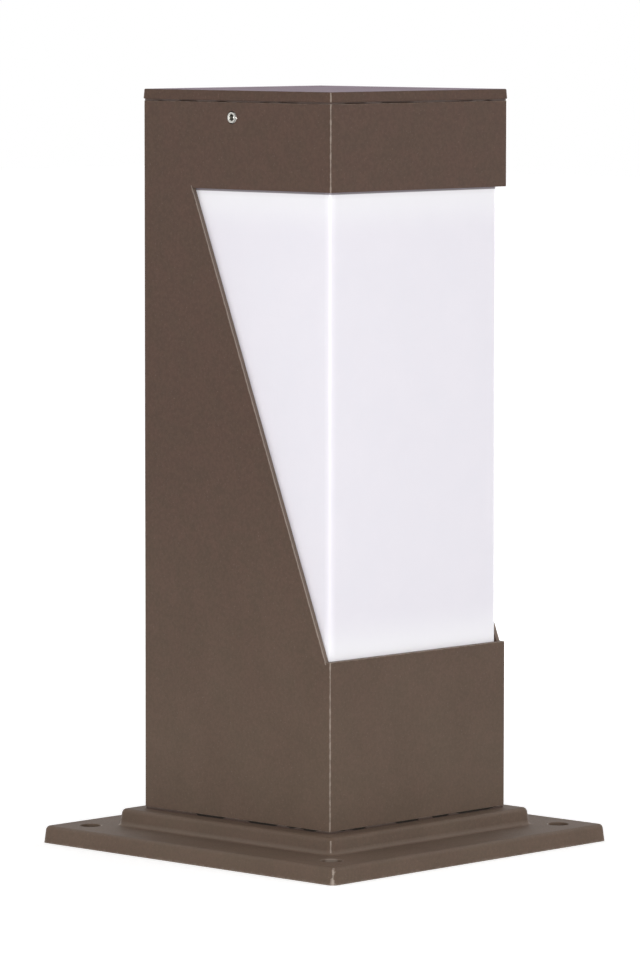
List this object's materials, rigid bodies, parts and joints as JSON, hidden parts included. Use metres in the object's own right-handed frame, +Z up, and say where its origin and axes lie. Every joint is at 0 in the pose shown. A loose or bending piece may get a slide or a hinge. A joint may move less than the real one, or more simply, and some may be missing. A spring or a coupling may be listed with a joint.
{
  "type": "bollard light",
  "caption": "Low square garden bollard light: brown column with a slanted cut-away window over an opal tube, flat lift-off cap and stepped base with anchor holes.",
  "frame": {"origin": "centre of the base's footprint, on the ground", "axes": "+Z up along the column; -Y out of the window; +X to the right of someone who faces the window"},
  "size_m": [0.16, 0.16, 0.3],
  "materials": {
    "powder_coat": "fine-textured brown powder coat",
    "opal_acrylic": "opal, polished",
    "stainless_steel": "bright stainless",
    "zinc_steel": "zinc plated",
    "mill_aluminium": "mill finish",
    "black_rubber": "matt",
    "clear_silicone": "translucent white",
    "black_nylon": "moulded",
    "white_porcelain": "glazed",
    "brass": "bright",
    "nickel_plate": "nickel plated",
    "lamp_white": "moulded",
    "lamp_opal": "opal, satin",
    "dark_glass": "black vitrified",
    "white_board": "white solder mask on aluminium",
    "led_phosphor": "yellow phosphor",
    "green_board": "green solder mask",
    "natural_nylon": "moulded, natural",
    "brown_insulation": "PVC",
    "blue_insulation": "PVC",
    "earth_insulation": "PVC, green with yellow"
  },
  "bodies": {
    "column": {"base_casting": "powder_coat", "column_shell": "powder_coat", "foot_gasket": "black_rubber", "foot_cleats": "mill_aluminium", "column_washers": "zinc_steel", "column_screws": "stainless_steel", "tray_pillars": "mill_aluminium", "gland_body": "black_nylon", "gland_seal": "black_rubber", "gland_nut": "black_nylon", "gland_locknut": "black_nylon", "gear_tray": "zinc_steel", "tray_screws": "zinc_steel", "tray_grommet": "black_rubber", "lampholder_body": "white_porcelain", "lampholder_sleeve": "nickel_plate", "lampholder_contact": "brass", "lampholder_posts": "brass", "lampholder_screws": "zinc_steel", "lampholder_nuts": "zinc_steel", "terminal_block": "natural_nylon", "terminal_tubes": "brass", "terminal_screws": "zinc_steel", "block_screws": "zinc_steel", "live_wire": "brown_insulation", "neutral_wire": "blue_insulation", "earth_wire": "earth_insulation", "earth_lug": "nickel_plate", "earth_screw": "zinc_steel", "diffuser_lower_seal": "clear_silicone", "diffuser": "opal_acrylic"},
    "cap": {"top_cap": "powder_coat", "cap_gasket": "black_rubber", "diffuser_upper_seal": "clear_silicone"},
    "lamp_tip": {"lamp_tip": "nickel_plate"},
    "lamp": {"lamp_insulator": "dark_glass", "lamp_screw_cap": "nickel_plate", "lamp_housing": "lamp_white", "lamp_led_board": "white_board", "lamp_leds": "led_phosphor", "lamp_driver_board": "green_board", "lamp_globe": "lamp_opal"},
    "cap_screw_left": {"cap_screw_left": "stainless_steel"},
    "cap_screw_right": {"cap_screw_right": "stainless_steel"}
  },
  "joints": [
    {"name": "cap_lift", "type": "slide", "parent": "column", "child": "cap", "axis": [0, 0, 1], "range_m": [0, 0.06]},
    {"name": "lamp_rise", "type": "slide", "parent": "column", "child": "lamp_tip", "axis": [0, 0, 1], "range_m": [0, 0.01864]},
    {"name": "lamp_turn", "type": "hinge", "parent": "lamp_tip", "child": "lamp", "pos_m": [0, 0, 0.1], "axis": [0, 0, 1], "range_deg": [0, 1800]},
    {"name": "cap_screw_left_turn", "type": "hinge", "parent": "column", "child": "cap_screw_left", "pos_m": [-0.04605, 0.0022, 0.28945], "axis": [-1, 0, 0], "range_deg": [0, 720]},
    {"name": "cap_screw_right_turn", "type": "hinge", "parent": "column", "child": "cap_screw_right", "pos_m": [0.04605, 0.0022, 0.28945], "axis": [1, 0, 0], "range_deg": [0, 720]}
  ],
  "couplings": [
    {"joint": "lamp_rise", "follows": "lamp_turn", "m_per_rad": 0.00057757}
  ]
}
